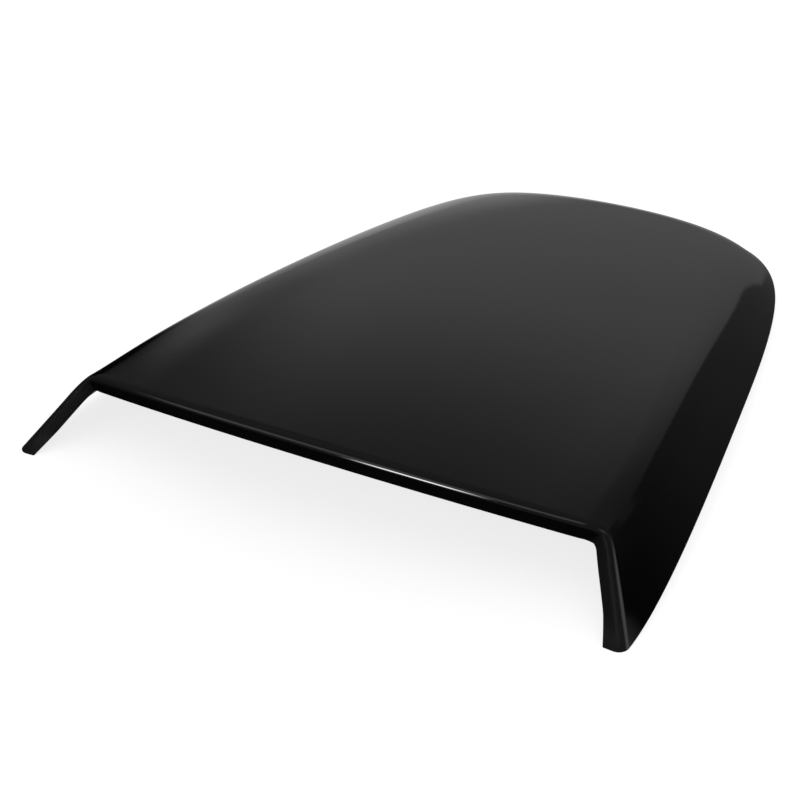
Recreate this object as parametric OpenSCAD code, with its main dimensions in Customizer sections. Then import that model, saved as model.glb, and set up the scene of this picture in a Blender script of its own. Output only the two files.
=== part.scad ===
// Bonnet scoop: one moulded, gloss black shell that is open in front and underneath.
// The mouth faces -Y, and the shell narrows and falls to a low tail at +Y. It stands on the tips
// of its legs and on its tail at z = 0, and between them its rim arches over the bonnet's crown.

/* [Outline seen from above] */
// Length from the tips of the two legs to the tail edge
length = 712.5; // [660:0.5:800]
// Half of the width over the feet of the two legs
tip_half_w = 264.5; // [250:0.5:300]
// How far beyond the feet the outline is pulled out behind the legs
front_bulge = 10; // [-6:0.5:14]
// How far behind the tips that pull acts
front_station = 46; // [40:0.5:120]
// Half width that shapes the middle of the flank
middle_half_w = 247; // [225:0.5:275]
// How far behind the tips the middle of the flank lies
middle_station = 326; // [250:0.5:360]
// Half width that shapes the rear of the flank
rear_half_w = 223; // [200:0.5:245]
// How far behind the tips the rear of the flank lies
rear_station = 530.5; // [470:0.5:570]
// Half width of the control point that rounds the rear corner
corner_half_w = 176.5; // [150:0.5:198]
// How far in front of the tail edge that control point lies
corner_inset = 21.5; // [5:0.5:70]
// Half width of the control point that starts the straight tail edge
tail_half_w = 68.5; // [30:0.5:110]

/* [Height of the top] */
// Height of the mouth's top edge above the rim, at the shoulders
mouth_h = 58; // [48:0.5:75]
// Height that the top falls to at the tail edge, beside the crown
tail_h = 3.5; // [2:0.5:14]
// Rise of the top over the middle of the mouth
mouth_crown = 23.5; // [4:0.5:32]
// Rise of the top over the middle of the tail
tail_crown = 14.5; // [8:0.5:30]
// Half width at which the crown has died away
crown_half_w = 230; // [200:1:280]
// How late the top falls towards the tail, as the power of a curve
fall_power = 2.4; // [1.4:0.1:3]

/* [Rim] */
// How far the rim arches above the tips and the tail, a third of the way back
rim_rise = 11; // [0:0.5:16]

/* [Side wall] */
// Rise of the wall for each millimetre inward, at the mouth
wall_slope_mouth = 1.28; // [1.1:0.02:2.6]
// The same rise at the rear corner
wall_slope_corner = 0.92; // [0.7:0.02:1.6]
// The same rise at the middle of the tail
wall_slope_tail = 1.14; // [0.7:0.02:1.6]
// Where along the outline the rear corner lies, as a share of its length
corner_place = 0.68; // [0.55:0.01:0.8]
// Height over which wall and top blend into the shoulder, at the mouth
shoulder_blend_mouth = 15.5; // [6:0.5:24]
// The same blend at the tail
shoulder_blend_tail = 30; // [10:0.5:34]

/* [Mouth] */
// How far the legs lean inward from their feet to the shoulders
leg_run = 34.5; // [26:0.5:45]
// How far the shoulders stand behind the feet
leg_rake = 50.5; // [30:0.5:60]
// Bend of the legs seen from above, 0 for straight
leg_bend = 0.1; // [-0.3:0.05:0.4]
// Blend of the legs into the top edge, seen from above
mouth_corner_blend = 8; // [4:0.5:14]
// How far the middle of the top edge bows forward
mouth_bow = 34.5; // [0:0.5:42]
// Height of the face of the mouth's thick edge
lip_h = 13.5; // [10:0.25:16]
// How far back the thick edge runs at its full depth
lip_len = 4; // [2.5:0.5:12]
// How far the thick edge then takes to thin down to the shell
lip_fade = 12; // [8:0.5:24]
// How far back over the skin the rounding of the mouth's outer edge begins
edge_back = 7.5; // [4:0.25:10]
// How far down the face that rounding ends, at the middle of the mouth
edge_drop = 4.5; // [2.5:0.25:6]
// The same on the legs
leg_edge_drop = 6.5; // [3:0.25:8]
// Rounding of the face's inner edge
inner_round = 1.2; // [0.6:0.1:2]
// How far back the shape of the mouth is felt in the shell
mouth_reach = 200; // [140:1:260]

/* [Shell] */
// Thickness of the moulded shell
shell_t = 3.5; // [2.5:0.1:5]

/* [Fineness] */
// Steps along the flank
flank_steps = 18; // [12:1:26]
// Steps round the rear corner
corner_steps = 14; // [10:1:20]
// Steps along half of the tail edge
tail_steps = 6; // [4:1:10]
// Steps up the side wall
wall_steps = 7; // [5:1:9]
// Steps over the shoulder
shoulder_steps = 5; // [3:1:7]
// Steps from the shoulder to the centre line
top_steps = 10; // [6:1:14]

/* [Hidden] */

// The outline's control points, from the right leg's tip to the middle of the tail
CONTROLS = [
    [tip_half_w, 0],
    [tip_half_w + front_bulge, front_station],
    [middle_half_w, middle_station],
    [rear_half_w, rear_station],
    [corner_half_w, length - corner_inset],
    [tail_half_w, length],
    [0, length]
];
DEGREE = 3;
SPANS = len(CONTROLS) - DEGREE;
// Points of the finely drawn outline, from which arc lengths are measured
OUTLINE_STEPS = 160;
// How far in front of the tail edge the spokes of the last stations meet the centre line
HUB_INSET = 120;
// Shares of the outline's length at which the corner's stations begin and end
CORNER_FROM = corner_place - 0.1;
CORNER_TO = corner_place + 0.16;
// The shoulder is drawn out to this many times its distance from the rim
SHOULDER_END = 1.8;
// How strongly the steps gather at the shoulder, as a power
GATHER = 1.6;
// Share of a spoke over which the legs' rounding passes into that of the middle
LEG_SHARE = 0.3;
// Steps round each rounded edge of the mouth
ROUND_STEPS = 4;
// Search passes that find the shoulder, and the distance that they start from
SHOULDER_PASSES = 5;
SHOULDER_GUESS = 30;
// Largest share of a spoke that lies outside its shoulder
SHOULDER_LIMIT = 0.45;
// Least height of the top over the rim, and the widest blend as a multiple of that height
LEAST_RISE = 1;
BLEND_LIMIT = 1.6;
// Height in shell thicknesses by which the inner face follows the skin squarely
SQUARE_BY = 1.5;

function clamp(v, low, high) = max(low, min(high, v));
function ease(t) = let(c = clamp(t, 0, 1)) c * c * (3 - 2 * c);
function mix(a, b, t) = a + (b - a) * t;

// The lower of two heights, with their crossing rounded over a band of height r
function soft_min(a, b, r) =
    let(h = clamp(0.5 + 0.5 * (b - a) / r, 0, 1))
    mix(b, a, h) - r * h * (1 - h);

// Clamped uniform cubic spline through the control points' frame
function knot(i) = clamp((i - DEGREE) / SPANS, 0, 1);
function ratio(a, b) = b > 0 ? a / b : 0;
function basis(i, d, u) =
    d == 0
    ? ((u >= knot(i) && u < knot(i + 1)) || (u >= 1 && knot(i + 1) == 1 && knot(i) < 1) ? 1 : 0)
    : ratio(u - knot(i), knot(i + d) - knot(i)) * basis(i, d - 1, u)
        + ratio(knot(i + d + 1) - u, knot(i + d + 1) - knot(i + 1)) * basis(i + 1, d - 1, u);
function spline(u) =
    let(weights = [for (i = [0 : len(CONTROLS) - 1]) basis(i, DEGREE, u)])
    weights * CONTROLS;

OUTLINE = [for (i = [0 : OUTLINE_STEPS]) spline(i / OUTLINE_STEPS)];
function step_len(i) = norm(OUTLINE[i + 1] - OUTLINE[i]);
ARCS = [
    for (i = 0, s = 0; i <= OUTLINE_STEPS; s = s + (i < OUTLINE_STEPS ? step_len(i) : 0), i = i + 1) s
];
HALF_ARC = ARCS[OUTLINE_STEPS];

// The outline's point and its inward normal at the arc length s from the leg's tip
X_TABLE = [for (i = [0 : OUTLINE_STEPS]) [ARCS[i], OUTLINE[i].x]];
Y_TABLE = [for (i = [0 : OUTLINE_STEPS]) [ARCS[i], OUTLINE[i].y]];
function outline_at(s) = [lookup(s, X_TABLE), lookup(s, Y_TABLE)];
function tangent_of(i) =
    let(d = OUTLINE[min(i + 1, OUTLINE_STEPS)] - OUTLINE[max(i - 1, 0)])
    d / norm(d);
NX_TABLE = [for (i = [0 : OUTLINE_STEPS]) [ARCS[i], i == OUTLINE_STEPS ? 0 : -tangent_of(i).y]];
NY_TABLE = [for (i = [0 : OUTLINE_STEPS]) [ARCS[i], i == OUTLINE_STEPS ? -1 : tangent_of(i).x]];
function inward_at(s) =
    let(n = [lookup(s, NX_TABLE), lookup(s, NY_TABLE)])
    n / norm(n);

// The mouth's edge seen from above: how far it lies behind the tips at the half width x
function leg_line(t) = leg_rake * (t > 1 ? t : t + leg_bend * t * (1 - t));
function edge_line(x) = leg_rake - mouth_bow * (1 - pow(x / (tip_half_w - leg_run), 2));
function mouth_y(x) = soft_min(leg_line((tip_half_w - x) / leg_run), edge_line(x), mouth_corner_blend);

// Height of the rim at the distance y behind the tips: a flat arch that clears the bonnet, which
// falls away more steeply towards its nose; ARCH makes its crest as high as rim_rise
ARCH = 27 / 4;
function rim_z(y) = let(v = clamp(y / length, 0, 1)) rim_rise * ARCH * v * pow(1 - v, 2);

// Height of the side wall over the rim at the distance d inside the outline, at the arc length s
function wall_slope(s) =
    let(f = s / HALF_ARC)
    f < corner_place
    ? mix(wall_slope_mouth, wall_slope_corner, ease(f / corner_place))
    : mix(wall_slope_corner, wall_slope_tail, ease((f - corner_place) / (1 - corner_place)));
function wall_z(d, s) = wall_slope(s) * max(d, 0);

// Height of the top, without the walls
function top_z(x, y) =
    let(v = clamp(y / length, 0, 1))
    mix(mouth_h, tail_h, pow(v, fall_power))
        + mix(mouth_crown, tail_crown, v) * (1 - pow(x / crown_half_w, 2));

function shoulder_blend(s) = mix(shoulder_blend_mouth, shoulder_blend_tail, ease(s / HALF_ARC));

// A spoke runs from the outline to the centre line: [foot, hub, inward normal, arc, mouth share]
MOUTH_MID = mouth_y(0);
function hub_y(s) =
    let(f = s / HALF_ARC)
    mix(MOUTH_MID, length - HUB_INSET, 2 * f / (1 + f));
function spoke(s) =
    let(foot = outline_at(s))
    [foot, [0, hub_y(s)], inward_at(s), s, 1 - ease(foot.y / mouth_reach)];

// A spoke's plan point at the share f of its length, bent near the mouth to follow the edge
function plan_at(sp, f) =
    mix(sp[0], sp[1], f) + [0, sp[4] * (mouth_y(tip_half_w * (1 - f)) - MOUTH_MID * f)];
function depth_at(sp, p) = (p - sp[0]) * sp[2];
function foot_z(sp) = rim_z(sp[0].y);
function height_at(sp, p) =
    let(top = top_z(p.x, p.y), over = max(top - foot_z(sp), LEAST_RISE))
    soft_min(
        foot_z(sp) + wall_z(depth_at(sp, p), sp[3]),
        top,
        min(shoulder_blend(sp[3]), BLEND_LIMIT * over)
    );

// The share of a spoke at which its wall would meet the top, found by repeated correction
function shoulder_share(sp, f, passes) =
    passes == 0
    ? f
    : let(p = plan_at(sp, f), want = max(top_z(p.x, p.y) - foot_z(sp), LEAST_RISE) / wall_slope(sp[3]))
        shoulder_share(
            sp,
            clamp(f * want / max(depth_at(sp, p), 0.001), 0.01, SHOULDER_LIMIT),
            passes - 1
        );

// The shares at which a spoke is drawn, gathered at the shoulder
WALL_SHARES = [for (i = [0 : wall_steps]) 1 - pow(1 - i / wall_steps, GATHER)];
OVER_SHARES = [for (i = [1 : shoulder_steps]) 1 + (SHOULDER_END - 1) * pow(i / shoulder_steps, GATHER)];
function spoke_shares(f) = concat(
    [for (k = concat(WALL_SHARES, OVER_SHARES)) k * f],
    [for (i = [1 : top_steps]) mix(SHOULDER_END * f, 1, i / top_steps)]
);
ACROSS = wall_steps + shoulder_steps + top_steps;

// One row of the outer skin at the arc length s: for each point its place, share and run along the spoke
function skin_row(s) =
    let(
        sp = spoke(s),
        run = norm(sp[1] - sp[0]),
        f0 = shoulder_share(sp, SHOULDER_GUESS / run, SHOULDER_PASSES)
    )
    [
        for (f = spoke_shares(f0))
            let(p = plan_at(sp, f))
            [[p.x, p.y, f == 0 ? foot_z(sp) : height_at(sp, p)], f, f * run, (sp[1] - sp[0]) / run]
    ];

// The same row moved inward by the depth t, level along the rim and square to the skin above it
function inset_point(row, j, t) =
    let(
        p = row[j][0],
        a = row[max(j - 1, 0)],
        b = row[min(j + 1, ACROSS)],
        slope = [b[2] - a[2], b[0].z - a[0].z],
        n = [slope.y, -slope.x] / norm(slope),
        g = clamp((p.z - row[0][0].z) / (SQUARE_BY * t), 0, 1),
        fade = pow(row[j][1], 4),
        way = [mix(1, n.x, g) * (1 - fade), g * n.y - fade],
        k = t / (way * n),
        e = row[j][3]
    )
    [j == ACROSS ? 0 : p.x + k * way.x * e.x, p.y + k * way.x * e.y, p.z + k * way.y];
function inset_row(row, depth, leg_depth) = [
    for (j = [0 : ACROSS])
        let(t = mix(leg_depth, depth, ease(row[j][1] / LEG_SHARE)))
        t > 0 ? inset_point(row, j, t) : row[j][0]
];

// Arc lengths of the stations from the mouth to the middle of the tail, on the skin and inside
LIP_END = lip_len + lip_fade;
LIP_ROWS = 5;
REST = concat(
    [for (i = [0 : flank_steps - 1]) mix(LIP_END, CORNER_FROM * HALF_ARC, i / flank_steps)],
    [for (i = [0 : corner_steps - 1]) mix(CORNER_FROM, CORNER_TO, i / corner_steps) * HALF_ARC],
    [for (i = [0 : tail_steps]) mix(CORNER_TO, 1, i / tail_steps) * HALF_ARC]
);
OUTER = concat([for (i = [0 : LIP_ROWS - 1]) mix(edge_back, LIP_END, i / LIP_ROWS)], REST);
INNER = concat([inner_round], [for (i = [0 : LIP_ROWS - 2]) lip_len + lip_fade * i / (LIP_ROWS - 1)], REST);
function lip_depth(s) = mix(lip_h, shell_t, ease((s - lip_len) / lip_fade));

// The shell's section as [arc length, depth, depth on the legs]: the skin from tail to mouth,
// the rounded edge, the face's inner edge and the inside back to the tail
SECTION = concat(
    [for (i = [len(OUTER) - 1 : -1 : 0]) [OUTER[i], 0, 0]],
    [
        for (i = [1 : ROUND_STEPS])
            let(a = 90 * i / ROUND_STEPS, down = 1 - cos(a))
            [edge_back * (1 - sin(a)), edge_drop * down, leg_edge_drop * down]
    ],
    [
        for (i = [0 : ROUND_STEPS - 1])
            let(a = 90 * i / ROUND_STEPS, depth = lip_h - inner_round * (1 - sin(a)))
            [inner_round * (1 - cos(a)), depth, depth]
    ],
    [for (s = INNER) [s, lip_depth(s), lip_depth(s)]]
);
ROWS = len(SECTION);

// Grid numbers: the centre line and the middle of the tail are shared by both halves
WIDE = ACROSS + 1;
function grid_id(side, k, j) =
    (side == 0 || j == ACROSS || k == 0 || k == ROWS - 1 ? 0 : ROWS * WIDE) + k * WIDE + j;
function turned(side, face) = side == 0 ? face : [face[2], face[1], face[0]];
function quad(side, a, b, c, d) = [turned(side, [a, b, c]), turned(side, [a, c, d])];

// Both skins split their quads away from the centre line, where the halves share points
module scoop_shell() {
    half = [for (q = SECTION) each inset_row(skin_row(q[0]), q[1], q[2])];
    centre_y = (min([for (p = half) p.y]) + length) / 2;
    points = [
        for (p = half) [p.x, p.y - centre_y, p.z],
        for (p = half) [-p.x, p.y - centre_y, p.z]
    ];
    skins = [
        for (side = [0, 1], k = [0 : ROWS - 2], j = [0 : ACROSS - 1])
            each k < ROWS / 2
            ? quad(
                side,
                grid_id(side, k + 1, j),
                grid_id(side, k + 1, j + 1),
                grid_id(side, k, j + 1),
                grid_id(side, k, j)
            )
            : quad(
                side,
                grid_id(side, k, j),
                grid_id(side, k + 1, j),
                grid_id(side, k + 1, j + 1),
                grid_id(side, k, j + 1)
            )
    ];
    rim = [
        for (side = [0, 1], k = [0 : ROWS / 2 - 2])
            each quad(
                side,
                grid_id(side, k, 0),
                grid_id(side, ROWS - 1 - k, 0),
                grid_id(side, ROWS - 2 - k, 0),
                grid_id(side, k + 1, 0)
            )
    ];
    color([0.05, 0.05, 0.055])
        polyhedron(points, concat(skins, rim), convexity = 6);
}

scoop_shell();
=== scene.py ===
"""Looks of the bonnet scoop: one moulded, gloss black shell with an open mouth."""

import math

import bpy
import numpy as np
from mathutils import Matrix, Vector


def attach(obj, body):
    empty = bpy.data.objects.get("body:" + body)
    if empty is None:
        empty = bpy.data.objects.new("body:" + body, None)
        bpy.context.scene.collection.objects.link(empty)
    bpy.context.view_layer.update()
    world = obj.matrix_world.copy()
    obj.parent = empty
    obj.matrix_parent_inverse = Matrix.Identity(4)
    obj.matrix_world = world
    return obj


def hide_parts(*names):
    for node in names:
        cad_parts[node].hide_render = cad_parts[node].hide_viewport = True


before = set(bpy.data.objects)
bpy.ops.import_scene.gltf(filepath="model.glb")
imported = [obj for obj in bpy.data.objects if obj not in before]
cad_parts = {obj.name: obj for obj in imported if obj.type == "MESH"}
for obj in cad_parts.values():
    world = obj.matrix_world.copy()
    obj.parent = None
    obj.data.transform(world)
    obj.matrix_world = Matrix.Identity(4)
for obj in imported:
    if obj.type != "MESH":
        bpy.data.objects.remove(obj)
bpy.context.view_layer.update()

# The outline seen from above, in metres, with the leg tips at y = 0 and the tail at y = LENGTH
LENGTH = 0.7125
TIP_HALF_W = 0.2645
FRONT_BULGE = 0.010
FRONT_STATION = 0.046
MIDDLE_HALF_W = 0.247
MIDDLE_STATION = 0.326
REAR_HALF_W = 0.223
REAR_STATION = 0.5305
CORNER_HALF_W = 0.1765
CORNER_INSET = 0.0215
TAIL_HALF_W = 0.0685

# Heights of the top
MOUTH_H = 0.058
TAIL_H = 0.0035
MOUTH_CROWN = 0.0235
TAIL_CROWN = 0.0145
CROWN_HALF_W = 0.230
FALL_POWER = 2.4

# How far the rim arches above the tips and the tail, a third of the way back, and the factor
# that brings the peak of v (1 - v)^2 there to 1
RIM_RISE = 0.011
ARCH = 27 / 4

# Side wall: rise for each metre inward, and the height over which it blends into the top
WALL_SLOPE_MOUTH = 1.28
WALL_SLOPE_CORNER = 0.92
WALL_SLOPE_TAIL = 1.14
CORNER_PLACE = 0.68
SHOULDER_BLEND_MOUTH = 0.0155
SHOULDER_BLEND_TAIL = 0.030

# Mouth
LEG_RUN = 0.0345
LEG_RAKE = 0.0505
LEG_BEND = 0.10
MOUTH_CORNER_BLEND = 0.008
MOUTH_BOW = 0.0345
LIP_H = 0.0135
LIP_LEN = 0.004
LIP_FADE = 0.012
EDGE_BACK = 0.0075
EDGE_DROP = 0.0045
LEG_EDGE_DROP = 0.0065
LEG_SHARE = 0.30
INNER_ROUND = 0.0012
MOUTH_REACH = 0.200
HUB_INSET = 0.120
SHELL_T = 0.0035

# The narrow faces of the legs are satin: bands of the edge's arc and of the spoke's share
# over which that finish gives way to the polished skin
SATIN_ARC = (0.0022, 0.0048)
SATIN_SHARE = (0.125, 0.165)

# Fineness of the mesh, and how its rows of points are gathered along each spoke
OUTLINE_STEPS = 3000
LIP_STEPS = 12
FLANK_STEPS = 92
CORNER_STEPS = 50
TAIL_STEPS = 22
ROUND_STEPS = 12
WALL_STEPS = 24
SHOULDER_STEPS = 24
TOP_STEPS = 36
SHOULDER_END = 1.8
GATHER = 1.6
SHOULDER_PASSES = 6
SHOULDER_GUESS = 0.030
SHOULDER_SHARE = (0.01, 0.45)
LEAST_RISE = 0.001
BLEND_LIMIT = 1.6
SQUARE_BY = 1.5
LEVEL_POWER = 4
LEAST_DEPTH = 1e-6
LEAST_THICKNESS = 1e-9
CORNER_FROM = CORNER_PLACE - 0.10
CORNER_TO = CORNER_PLACE + 0.16
SPLINE_DEGREE = 3
SHARP_ANGLE = math.radians(35)

# Finish of the polished skin and of the satin faces: base tone, specular level and roughness.
# A noise called haze varies the polish, and one called peel is its orange peel; their scales
# are waves for each metre, and the peel's depth is in metres.
IOR = 1.5
BASE_TONE = 0.0006
SATIN_TONE = 0.005
GLOSS_LEVEL = 0.5
SATIN_LEVEL = 0.04
GLOSS_ROUGHNESS = (0.055, 0.085)
SATIN_ROUGHNESS = 0.5
HAZE_SCALE = 9.0
HAZE_DETAIL = 4.0
HAZE_ENDS = (0.3, 0.7)
PEEL_SCALE = 260.0
PEEL_DETAIL = 1.5
PEEL_GRAIN = 0.4
PEEL_STRENGTH = 0.02
PEEL_DEPTH = 0.0006

# Camera, in the same frame as the part
CAMERA_AZIMUTH = math.radians(28.54)
CAMERA_ELEVATION = math.radians(30.65)
CAMERA_PLACE = Vector((0.4772, -1.06075, 0.6259))
CAMERA_LENS = 63.0
SENSOR_WIDTH = 36.0


def ease(t):
    """Smooth step from 0 to 1."""
    c = np.clip(t, 0.0, 1.0)
    return c * c * (3 - 2 * c)


def mix(a, b, t):
    """The value between a and b at the share t."""
    return a + (b - a) * t


def soft_min(a, b, r):
    """The lower of two heights, with their crossing rounded over a band of height r."""
    h = np.clip(0.5 + 0.5 * (b - a) / r, 0.0, 1.0)
    return mix(b, a, h) - r * h * (1 - h)


class Outline:
    """The half outline of the shell as a clamped cubic spline, measured by arc length."""

    def __init__(self):
        controls = np.array([
            (TIP_HALF_W, 0.0),
            (TIP_HALF_W + FRONT_BULGE, FRONT_STATION),
            (MIDDLE_HALF_W, MIDDLE_STATION),
            (REAR_HALF_W, REAR_STATION),
            (CORNER_HALF_W, LENGTH - CORNER_INSET),
            (TAIL_HALF_W, LENGTH),
            (0.0, LENGTH),
        ])
        u = np.linspace(0.0, 1.0, OUTLINE_STEPS + 1)
        self.points = self.weights(u, len(controls)) @ controls
        steps = np.linalg.norm(np.diff(self.points, axis=0), axis=1)
        self.arcs = np.concatenate([[0.0], np.cumsum(steps)])
        self.length = self.arcs[-1]
        tangents = np.gradient(self.points, axis=0)
        tangents /= np.linalg.norm(tangents, axis=1)[:, None]
        tangents[-1] = (-1.0, 0.0)
        self.normals = np.stack([-tangents[:, 1], tangents[:, 0]], axis=-1)

    @staticmethod
    def weights(u, count):
        """The spline's weight of each control point at the parameters u."""
        spans = count - SPLINE_DEGREE
        knots = np.clip((np.arange(count + SPLINE_DEGREE + 1) - SPLINE_DEGREE) / spans, 0, 1)
        last = (u[:, None] >= 1) & (knots[None, 1:] == 1) & (knots[None, :-1] < 1)
        table = ((u[:, None] >= knots[None, :-1]) & (u[:, None] < knots[None, 1:])) | last
        table = table.astype(float)
        for degree in range(1, SPLINE_DEGREE + 1):
            raised = []
            for i in range(len(knots) - 1 - degree):
                low = knots[i + degree] - knots[i]
                high = knots[i + degree + 1] - knots[i + 1]
                part = np.zeros(len(u))
                if low > 0:
                    part = part + (u - knots[i]) / low * table[:, i]
                if high > 0:
                    part = part + (knots[i + degree + 1] - u) / high * table[:, i + 1]
                raised.append(part)
            table = np.stack(raised, axis=-1)
        return table

    def at(self, s):
        """Points and inward normals at the arc lengths s from the leg's tip."""
        point = np.stack([np.interp(s, self.arcs, self.points[:, k]) for k in (0, 1)], axis=-1)
        normal = np.stack([np.interp(s, self.arcs, self.normals[:, k]) for k in (0, 1)], axis=-1)
        return point, normal / np.linalg.norm(normal, axis=-1)[:, None]


OUTLINE = Outline()


def mouth_y(x):
    """How far the mouth's edge lies behind the tips at the half width x."""
    t = (TIP_HALF_W - x) / LEG_RUN
    leg = LEG_RAKE * np.where(t > 1, t, t + LEG_BEND * t * (1 - t))
    edge = LEG_RAKE - MOUTH_BOW * (1 - (x / (TIP_HALF_W - LEG_RUN)) ** 2)
    return soft_min(leg, edge, MOUTH_CORNER_BLEND)


def rim_z(y):
    """Height of the rim: a flat arch that falls away more steeply in front."""
    v = np.clip(y / LENGTH, 0.0, 1.0)
    return RIM_RISE * ARCH * v * (1 - v) ** 2


def wall_slope(s):
    """How steeply the side wall rises, at the arc lengths s."""
    f = s / OUTLINE.length
    front = mix(WALL_SLOPE_MOUTH, WALL_SLOPE_CORNER, ease(f / CORNER_PLACE))
    rear = mix(WALL_SLOPE_CORNER, WALL_SLOPE_TAIL, ease((f - CORNER_PLACE) / (1 - CORNER_PLACE)))
    return np.where(f < CORNER_PLACE, front, rear)


def wall_z(depth, s):
    """Height of the side wall over the rim, at a depth inward from it."""
    return wall_slope(s) * np.maximum(depth, 0.0)


def top_z(x, y):
    """Height of the top, without the walls."""
    v = np.clip(y / LENGTH, 0.0, 1.0)
    crown = mix(MOUTH_CROWN, TAIL_CROWN, v) * (1 - (x / CROWN_HALF_W) ** 2)
    return mix(MOUTH_H, TAIL_H, v ** FALL_POWER) + crown


def shoulder_blend(s):
    """Height over which the wall blends into the top, at the arc lengths s."""
    return mix(SHOULDER_BLEND_MOUTH, SHOULDER_BLEND_TAIL, ease(s / OUTLINE.length))


def skin_rows(s):
    """The outer skin at the arc lengths s: for each spoke its points, shares, way and run."""
    foot, inward = OUTLINE.at(s)
    middle = float(mouth_y(0.0))
    f = s / OUTLINE.length
    hub_y = mix(middle, LENGTH - HUB_INSET, 2 * f / (1 + f))
    way = np.stack([np.zeros_like(hub_y), hub_y], axis=-1) - foot
    run = np.linalg.norm(way, axis=1)
    bend = 1 - ease(foot[:, 1] / MOUTH_REACH)
    base = rim_z(foot[:, 1])

    def plan(share):
        x = foot[:, 0] * (1 - share)
        follow = mouth_y(TIP_HALF_W * (1 - share)) - middle * share
        y = mix(foot[:, 1], hub_y, share) + bend * follow
        depth = (x - foot[:, 0]) * inward[:, 0] + (y - foot[:, 1]) * inward[:, 1]
        return x, y, depth

    shoulder = SHOULDER_GUESS / run
    for _ in range(SHOULDER_PASSES):
        x, y, depth = plan(shoulder)
        height = np.maximum(top_z(x, y) - base, LEAST_RISE)
        wanted = height / wall_slope(s)
        shoulder = np.clip(shoulder * wanted / np.maximum(depth, LEAST_DEPTH), *SHOULDER_SHARE)

    up = [1 - (1 - i / WALL_STEPS) ** GATHER for i in range(WALL_STEPS + 1)]
    over = [
        1 + (SHOULDER_END - 1) * (i / SHOULDER_STEPS) ** GATHER
        for i in range(1, SHOULDER_STEPS + 1)
    ]
    shares = [k * shoulder for k in up + over]
    shares += [mix(SHOULDER_END * shoulder, 1.0, i / TOP_STEPS) for i in range(1, TOP_STEPS + 1)]
    points = []
    for share in shares:
        x, y, depth = plan(share)
        top = top_z(x, y)
        blend = np.minimum(shoulder_blend(s), BLEND_LIMIT * np.maximum(top - base, LEAST_RISE))
        z = soft_min(base + wall_z(depth, s), top, blend)
        points.append(np.stack([x, y, z], axis=-1))
    points = np.stack(points, axis=1)
    points[:, 0, 2] = base
    return points, np.stack(shares, axis=1), way / run[:, None], run


def inset(rows, depth, leg_depth):
    """The rows moved inward by a depth, level along the rim and square to the skin above it."""
    points, shares, way, run = rows
    t = mix(leg_depth[:, None], depth[:, None], ease(shares / LEG_SHARE))
    along = shares * run[:, None]
    rise = np.gradient(points[..., 2], axis=1)
    step = np.gradient(along, axis=1)
    size = np.hypot(rise, step)
    normal = (rise / size, -step / size)
    over_rim = points[..., 2] - points[:, :1, 2]
    square = np.clip(over_rim / (SQUARE_BY * np.maximum(t, LEAST_THICKNESS)), 0.0, 1.0)
    fade = shares ** LEVEL_POWER
    across = mix(1.0, normal[0], square) * (1 - fade)
    down = square * normal[1] - fade
    k = t / (across * normal[0] + down * normal[1])
    moved = points.copy()
    moved[..., 0] += k * across * way[:, 0][:, None]
    moved[..., 1] += k * across * way[:, 1][:, None]
    moved[..., 2] = np.maximum(moved[..., 2] + k * down, points[:, :1, 2])
    moved[:, -1, 0] = 0.0
    return np.where(t[..., None] > 0, moved, points)


def stations(start, end, steps):
    """Arc lengths from the mouth's edge to the middle of the tail."""
    full = OUTLINE.length
    return np.concatenate([
        start,
        np.linspace(start[-1], end, steps, endpoint=False)[1:],
        np.linspace(end, CORNER_FROM * full, FLANK_STEPS, endpoint=False),
        np.linspace(CORNER_FROM * full, CORNER_TO * full, CORNER_STEPS, endpoint=False),
        np.linspace(CORNER_TO * full, full, TAIL_STEPS + 1),
    ])


def section():
    """The shell's section as arc lengths and depths: skin, rounded edge, inner face."""
    end = LIP_LEN + LIP_FADE
    outer = stations([EDGE_BACK], end, LIP_STEPS + 1)
    inner = stations([INNER_ROUND, LIP_LEN], end, LIP_STEPS)
    upper = np.radians(np.linspace(0, 90, ROUND_STEPS + 1))[1:]
    lower = np.radians(np.linspace(0, 90, ROUND_STEPS + 1))[:-1]
    arcs = np.concatenate([
        outer[::-1],
        EDGE_BACK * (1 - np.sin(upper)),
        INNER_ROUND * (1 - np.cos(lower)),
        inner,
    ])
    back = np.concatenate([
        LIP_H - INNER_ROUND * (1 - np.sin(lower)),
        mix(LIP_H, SHELL_T, ease((inner - LIP_LEN) / LIP_FADE)),
    ])
    skin = np.zeros(len(outer))
    depths = np.concatenate([skin, EDGE_DROP * (1 - np.cos(upper)), back])
    leg_depths = np.concatenate([skin, LEG_EDGE_DROP * (1 - np.cos(upper)), back])
    return arcs, depths, leg_depths


def satin_weights(arcs, shares):
    """1 on the narrow faces of the legs and 0 on the polished skin."""
    face = 1 - ease((arcs - SATIN_ARC[0]) / (SATIN_ARC[1] - SATIN_ARC[0]))
    leg = 1 - ease((shares - SATIN_SHARE[0]) / (SATIN_SHARE[1] - SATIN_SHARE[0]))
    return face[:, None] * leg


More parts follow.
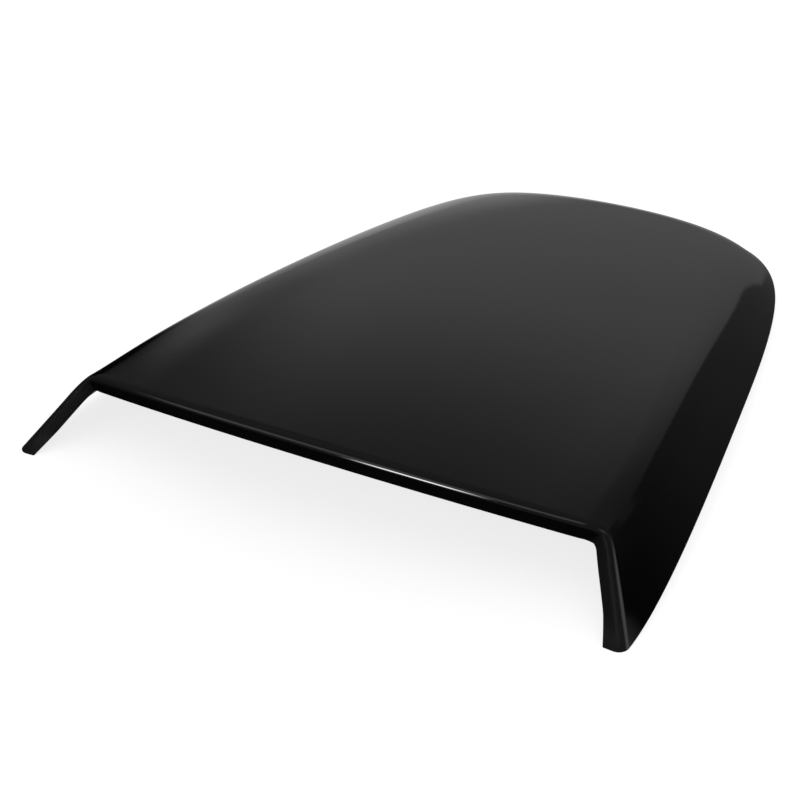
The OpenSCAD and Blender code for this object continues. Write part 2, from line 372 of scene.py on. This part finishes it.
def shell_mesh():
    """Both halves of the shell as one closed mesh, with each point's share of satin finish."""
    arcs, depths, leg_depths = section()
    skin = skin_rows(arcs)
    half = inset(skin, depths, leg_depths)
    satin = satin_weights(arcs, skin[1]).reshape(-1)
    half[..., 1] -= (half[..., 1].min() + LENGTH) / 2
    rows, wide = half.shape[:2]
    right = half.reshape(-1, 3)
    left = right * (-1.0, 1.0, 1.0)
    ids = np.arange(rows * wide).reshape(rows, wide)
    mirrored = ids + rows * wide
    mirrored[:, -1] = ids[:, -1]
    mirrored[0] = ids[0]
    mirrored[-1] = ids[-1]
    faces = []
    for grid, turn in ((ids, 1), (mirrored, -1)):
        a, b, c, d = grid[:-1, :-1], grid[1:, :-1], grid[1:, 1:], grid[:-1, 1:]
        sides = np.stack([a, b, c, d], axis=-1).reshape(-1, 4)
        rim = grid[: rows // 2, 0]
        other = grid[::-1, 0][: rows // 2]
        base = np.stack([rim[:-1], other[:-1], other[1:], rim[1:]], axis=-1)
        faces += [sides[:, ::-turn], base[:, ::-turn]]
    faces = np.concatenate(faces)
    points = np.concatenate([right, left])
    used, faces = np.unique(faces, return_inverse=True)
    return points[used], faces.reshape(-1, 4), np.tile(satin, 2)[used]


def make_shell():
    """The one piece: the shell's mesh, its finish and what it stands for."""
    points, faces, satin = shell_mesh()
    mesh = bpy.data.meshes.new("gloss_shell")
    mesh.from_pydata(points.tolist(), [], faces.tolist())
    mesh.attributes.new("satin", "FLOAT", "POINT").data.foreach_set("value", satin)
    mesh.validate()
    mesh.shade_smooth()
    mesh.set_sharp_from_angle(angle=SHARP_ANGLE)
    shell = bpy.data.objects.new("gloss_shell", mesh)
    bpy.context.scene.collection.objects.link(shell)
    shell.data.materials.append(gloss_black())
    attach(shell, "root")
    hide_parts("scoop_shell")
    return shell


def new_material(name):
    """An empty node material."""
    material = bpy.data.materials.new(name)
    material.use_nodes = True
    material.node_tree.nodes.clear()
    return material, material.node_tree.nodes, material.node_tree.links


def gloss_black():
    """Polished black moulding with a faint orange peel, satin on the narrow faces of the legs."""
    material, nodes, links = new_material("gloss_black_shell")
    out = nodes.new("ShaderNodeOutputMaterial")
    shader = nodes.new("ShaderNodeBsdfPrincipled")
    shader.inputs["IOR"].default_value = IOR
    where = nodes.new("ShaderNodeTexCoord")
    satin = nodes.new("ShaderNodeAttribute")
    satin.attribute_name = "satin"
    share = satin.outputs["Fac"]

    def finish(polished, dull):
        return ramp_node(nodes, links, share, (0.0, 1.0), polished, dull)

    tint = nodes.new("ShaderNodeCombineColor")
    tone = finish(BASE_TONE, SATIN_TONE)
    for socket in tint.inputs:
        links.new(tone, socket)
    links.new(tint.outputs[0], shader.inputs["Base Color"])
    links.new(finish(GLOSS_LEVEL, SATIN_LEVEL), shader.inputs["Specular IOR Level"])

    haze = nodes.new("ShaderNodeTexNoise")
    haze.inputs["Scale"].default_value = HAZE_SCALE
    haze.inputs["Detail"].default_value = HAZE_DETAIL
    rough = nodes.new("ShaderNodeMapRange")
    rough.inputs["From Min"].default_value, rough.inputs["From Max"].default_value = HAZE_ENDS
    rough.inputs["To Min"].default_value, rough.inputs["To Max"].default_value = GLOSS_ROUGHNESS
    links.new(where.outputs["Object"], haze.inputs["Vector"])
    links.new(haze.outputs["Fac"], rough.inputs["Value"])
    links.new(finish(rough.outputs["Result"], SATIN_ROUGHNESS), shader.inputs["Roughness"])

    peel = nodes.new("ShaderNodeTexNoise")
    peel.inputs["Scale"].default_value = PEEL_SCALE
    peel.inputs["Detail"].default_value = PEEL_DETAIL
    peel.inputs["Roughness"].default_value = PEEL_GRAIN
    bump = nodes.new("ShaderNodeBump")
    bump.inputs["Strength"].default_value = PEEL_STRENGTH
    bump.inputs["Distance"].default_value = PEEL_DEPTH
    links.new(where.outputs["Object"], peel.inputs["Vector"])
    links.new(peel.outputs["Fac"], bump.inputs["Height"])
    links.new(bump.outputs["Normal"], shader.inputs["Normal"])
    links.new(shader.outputs["BSDF"], out.inputs["Surface"])
    return material


# Studio. Glows are radiances that the gloss shows, and 1 is white; shades are shares taken
# away. Each pair is the two ends of a soft edge, except the two levels of FRONT_FLOOR_GLOW.
# Edges are angles in degrees: elevations above the floor, or azimuths counted from +Y towards
# +X. Those of the ceiling and the strip light, and those named X, Y or Z, are parts of a unit
# direction instead. An arch or a slant is degrees of one angle for each degree of the other.
WHITE = (1.0, 1.0, 1.0, 1.0)
SKY = 1.0
DIM = 0.153
HIGH_DIM = 0.185
HIGH_DIM_Z = (0.60, 0.80)
REAR_WINDOW = 0.368
REAR_LEFT = (-45.3, -32.1)
REAR_RIGHT = (4.3, 30.6)
REAR_TOP = (22.3, 45.2)
REAR_ARCH = 0.35
REAR_ARCH_AZIMUTH = -8.7
REAR_FADE = (-47.8, 61.6)
LEFT_SHADE = 0.95
LEFT_SHADE_RIGHT = (-44.7, -33.2)
LEFT_SHADE_LEFT = (-75.0, -58.0)
LEFT_SHADE_TOP = (12.9, 14.3)
REAR_SHADE = 0.715
REAR_SHADE_AZIMUTH = (-5.2, -0.7)
REAR_SHADE_TOP = (-13.0, -9.1)
LEFT_GLOW = 0.40
LEFT_GLOW_SLANT = 0.615
LEFT_GLOW_TOP = (-15.0, -8.2)
LEFT_GLOW_LEFT = (-46.5, -40.5)
LEFT_GLOW_RIGHT = (-24.6, -3.1)
CEILING_BAND = 0.8
CEILING_REAR = (-0.15, 0.05)
CEILING_FRONT = (-0.44, -0.34)
CEILING_RIGHT = (0.25, 0.40)
CEILING_Z = (0.45, 0.60)
STRIP = 22.0
STRIP_LEFT = (-0.34, -0.20)
STRIP_RIGHT = (-0.04, 0.12)
STRIP_REAR = (-0.52, -0.46)
STRIP_FRONT = (-0.80, -0.68)
RIGHT_WINDOW = 1.0
RIGHT_WINDOW_X = (0.62, 0.80)
RIGHT_WINDOW_FRONT_Y = (-0.25, 0.0)
RIGHT_WINDOW_REAR_Y = (0.40, 0.62)
RIGHT_WINDOW_LOW = (4.0, 16.0)
FRONT_DIM = 0.10
FRONT_DIM_LOW_Z = (0.08, 0.20)
FRONT_DIM_HIGH_Z = (0.50, 0.70)
FRONT_DIM_Y = (-0.50, -0.30)
LOW_WALL = 0.099
LOW_WALL_FADE = (-0.2, 57.1)
LOW_WALL_TOP = 7.5
LOW_WALL_RISE = 12.5
LOW_WALL_RISE_AZIMUTH = (4.7, 25.0)
LOW_WALL_DROP = 7.0
LOW_WALL_DROP_AZIMUTH = (29.3, 34.8)
LOW_WALL_EDGE = 6.7
LOW_WALL_SLANT = 0.735
LOW_WALL_BEND = 1.1
LOW_WALL_SOFT = 0.7
RIGHT_PATCH = 0.19
RIGHT_PATCH_AZIMUTH = (48.4, 54.0)
FRONT_FLOOR_GLOW = (0.02, 0.10)
FRONT_FLOOR_EDGE = (-6.0, 6.0)
FRONT_FLOOR_TOP = (20.0, 26.0)
FRONT_FLOOR_Y = (-0.54, -0.42)

# The floor that is seen, in metres; it lies a hair below the part, so that no faces coincide
FLOOR_SIZE = 30.0
FLOOR_GAP = 0.0001
FLOOR_GLOW = 0.80
FLOOR_PAINT = 0.25


def feed(links, socket, value):
    """A number is set on the socket, and another node's output is linked to it."""
    if isinstance(value, (int, float)):
        socket.default_value = value
    else:
        links.new(value, socket)


def math_node(nodes, links, operation, *values):
    """One sum on numbers or outputs."""
    node = nodes.new("ShaderNodeMath")
    node.operation = operation
    for socket, value in zip(node.inputs, values):
        feed(links, socket, value)
    return node.outputs[0]


def ramp_node(nodes, links, value, ends, to_low=0.0, to_high=1.0):
    """A soft step of a value between two ends, from one level to another."""
    node = nodes.new("ShaderNodeMapRange")
    node.interpolation_type = "SMOOTHSTEP"
    links.new(value, node.inputs["Value"])
    node.inputs["From Min"].default_value, node.inputs["From Max"].default_value = ends
    feed(links, node.inputs["To Min"], to_low)
    feed(links, node.inputs["To Max"], to_high)
    return node.outputs["Result"]


def make_room(nodes, links):
    """Radiance of the dim room with its soft windows and strip light, for each direction."""

    def step(value, ends, to_low=0.0, to_high=1.0):
        return ramp_node(nodes, links, value, ends, to_low, to_high)

    def fall(value, ends):
        return step(value, ends, 1.0, 0.0)

    def calc(operation, *values):
        return math_node(nodes, links, operation, *values)

    def times(first, *others):
        for other in others:
            first = calc("MULTIPLY", first, other)
        return first

    where = nodes.new("ShaderNodeTexCoord")
    split = nodes.new("ShaderNodeSeparateXYZ")
    links.new(where.outputs["Generated"], split.inputs[0])
    x, y, z = split.outputs
    elevation = calc("DEGREES", calc("ARCSINE", z))
    azimuth = calc("DEGREES", calc("ARCTAN2", x, y))

    # The rear window, arched at its top, on dim walls
    dim = step(z, HIGH_DIM_Z, DIM, HIGH_DIM)
    off_arch = calc("ABSOLUTE", calc("SUBTRACT", azimuth, REAR_ARCH_AZIMUTH))
    arched = calc("MULTIPLY_ADD", off_arch, REAR_ARCH, elevation)
    window = times(
        fall(arched, REAR_TOP), step(azimuth, REAR_LEFT), fall(azimuth, REAR_RIGHT), REAR_WINDOW
    )
    glow = times(calc("ADD", dim, window), step(elevation, REAR_FADE))
    # Shades low on both sides, and the glow of the floor on the left
    left_shade = times(
        fall(azimuth, LEFT_SHADE_RIGHT), step(azimuth, LEFT_SHADE_LEFT),
        fall(elevation, LEFT_SHADE_TOP), LEFT_SHADE
    )
    rear_shade = times(
        step(azimuth, REAR_SHADE_AZIMUTH), fall(elevation, REAR_SHADE_TOP), REAR_SHADE
    )
    for shade in (left_shade, rear_shade):
        glow = times(glow, calc("SUBTRACT", 1.0, shade))
    slanted = calc("MULTIPLY_ADD", azimuth, LEFT_GLOW_SLANT, elevation)
    left = times(
        fall(slanted, LEFT_GLOW_TOP), step(azimuth, LEFT_GLOW_LEFT),
        fall(azimuth, LEFT_GLOW_RIGHT), LEFT_GLOW
    )
    glow = calc("ADD", glow, left)
    # Over the part: the ceiling's band and the strip light
    band = times(
        fall(y, CEILING_REAR), step(y, CEILING_FRONT), fall(x, CEILING_RIGHT),
        step(z, CEILING_Z), CEILING_BAND
    )
    glow = calc("ADD", glow, band)
    strip = times(
        step(x, STRIP_LEFT), fall(x, STRIP_RIGHT), fall(y, STRIP_REAR), step(y, STRIP_FRONT),
        calc("GREATER_THAN", z, 0.0), STRIP
    )
    glow = calc("ADD", glow, strip)
    # The right window and the wall in front
    right = times(
        step(x, RIGHT_WINDOW_X), step(y, RIGHT_WINDOW_FRONT_Y), fall(y, RIGHT_WINDOW_REAR_Y),
        step(elevation, RIGHT_WINDOW_LOW), RIGHT_WINDOW
    )
    glow = calc("ADD", glow, right)
    front = times(
        step(z, FRONT_DIM_LOW_Z), fall(z, FRONT_DIM_HIGH_Z), fall(y, FRONT_DIM_Y), FRONT_DIM
    )
    glow = calc("ADD", glow, front)

    # The low wall on the right, with its slanted near edge and a pale patch
    below = calc("MINIMUM", calc("SUBTRACT", elevation, LOW_WALL_BEND), 0.0)
    edge = calc("MULTIPLY_ADD", below, LOW_WALL_SLANT, LOW_WALL_EDGE)
    beyond = step(calc("SUBTRACT", azimuth, edge), (-LOW_WALL_SOFT, LOW_WALL_SOFT))
    rise = step(azimuth, LOW_WALL_RISE_AZIMUTH, LOW_WALL_TOP, LOW_WALL_TOP + LOW_WALL_RISE)
    top = calc("SUBTRACT", rise, step(azimuth, LOW_WALL_DROP_AZIMUTH, 0.0, LOW_WALL_DROP))
    wall = times(beyond, fall(calc("SUBTRACT", elevation, top), (-LOW_WALL_SOFT, LOW_WALL_SOFT)))
    wall_glow = times(fall(azimuth, LOW_WALL_FADE), LOW_WALL)
    patch = times(step(azimuth, RIGHT_PATCH_AZIMUTH), RIGHT_PATCH)
    wall_glow = calc("ADD", wall_glow, patch)
    glow = times(glow, calc("SUBTRACT", 1.0, wall))
    glow = calc("MULTIPLY_ADD", wall, wall_glow, glow)
    # The floor in front
    in_front = times(fall(y, FRONT_FLOOR_Y), fall(elevation, FRONT_FLOOR_TOP))
    front_floor = step(elevation, FRONT_FLOOR_EDGE, *FRONT_FLOOR_GLOW)
    glow = times(glow, calc("SUBTRACT", 1.0, in_front))
    return calc("MULTIPLY_ADD", in_front, front_floor, glow)


def make_world():
    """White to the camera, an even sky to the floor, and the room to the gloss."""
    world = bpy.data.worlds.new("studio")
    bpy.context.scene.world = world
    world.use_nodes = True
    nodes, links = world.node_tree.nodes, world.node_tree.links
    nodes.clear()
    room = nodes.new("ShaderNodeBackground")
    links.new(make_room(nodes, links), room.inputs["Strength"])
    sky = nodes.new("ShaderNodeBackground")
    sky.inputs["Strength"].default_value = SKY
    white = nodes.new("ShaderNodeBackground")
    for background in (room, sky, white):
        background.inputs["Color"].default_value = WHITE
    light_path = nodes.new("ShaderNodeLightPath")
    unseen = nodes.new("ShaderNodeMixShader")
    links.new(light_path.outputs["Is Glossy Ray"], unseen.inputs["Fac"])
    links.new(sky.outputs[0], unseen.inputs[1])
    links.new(room.outputs[0], unseen.inputs[2])
    choose = nodes.new("ShaderNodeMixShader")
    links.new(light_path.outputs["Is Camera Ray"], choose.inputs["Fac"])
    links.new(unseen.outputs[0], choose.inputs[1])
    links.new(white.outputs[0], choose.inputs[2])
    out = nodes.new("ShaderNodeOutputWorld")
    links.new(choose.outputs[0], out.inputs["Surface"])


def make_floor():
    """Pale floor that keeps a faint shadow; the gloss looks through it into the room."""
    half = FLOOR_SIZE / 2
    mesh = bpy.data.meshes.new("floor")
    plan = [(-half, -half), (half, -half), (half, half), (-half, half)]
    mesh.from_pydata([(x, y, -FLOOR_GAP) for x, y in plan], [], [(0, 1, 2, 3)])
    floor = bpy.data.objects.new("floor", mesh)
    bpy.context.scene.collection.objects.link(floor)
    material, nodes, links = new_material("studio_floor")
    paint = nodes.new("ShaderNodeBsdfDiffuse")
    paint.inputs["Color"].default_value = (FLOOR_PAINT, FLOOR_PAINT, FLOOR_PAINT, 1.0)
    glow = nodes.new("ShaderNodeEmission")
    glow.inputs["Strength"].default_value = FLOOR_GLOW
    pale = nodes.new("ShaderNodeAddShader")
    links.new(paint.outputs[0], pale.inputs[0])
    links.new(glow.outputs[0], pale.inputs[1])
    clear = nodes.new("ShaderNodeBsdfTransparent")
    light_path = nodes.new("ShaderNodeLightPath")
    choose = nodes.new("ShaderNodeMixShader")
    links.new(light_path.outputs["Is Glossy Ray"], choose.inputs["Fac"])
    links.new(pale.outputs[0], choose.inputs[1])
    links.new(clear.outputs[0], choose.inputs[2])
    out = nodes.new("ShaderNodeOutputMaterial")
    links.new(choose.outputs[0], out.inputs["Surface"])
    mesh.materials.append(material)
    return floor


def make_camera():
    """The photograph's camera."""
    data = bpy.data.cameras.new("camera")
    data.lens = CAMERA_LENS
    data.sensor_width = SENSOR_WIDTH
    camera = bpy.data.objects.new("camera", data)
    a, e = CAMERA_AZIMUTH, CAMERA_ELEVATION
    right = Vector((math.cos(a), math.sin(a), 0.0))
    up = Vector((-math.sin(a) * math.sin(e), math.cos(a) * math.sin(e), math.cos(e)))
    back = Vector((math.sin(a) * math.cos(e), -math.cos(a) * math.cos(e), math.sin(e)))
    turn = Matrix((right, up, back)).transposed().to_4x4()
    camera.matrix_world = Matrix.Translation(CAMERA_PLACE) @ turn
    bpy.context.scene.collection.objects.link(camera)
    bpy.context.scene.camera = camera


make_shell()
make_floor()
make_world()
make_camera()
bpy.context.scene.view_settings.view_transform = "Standard"
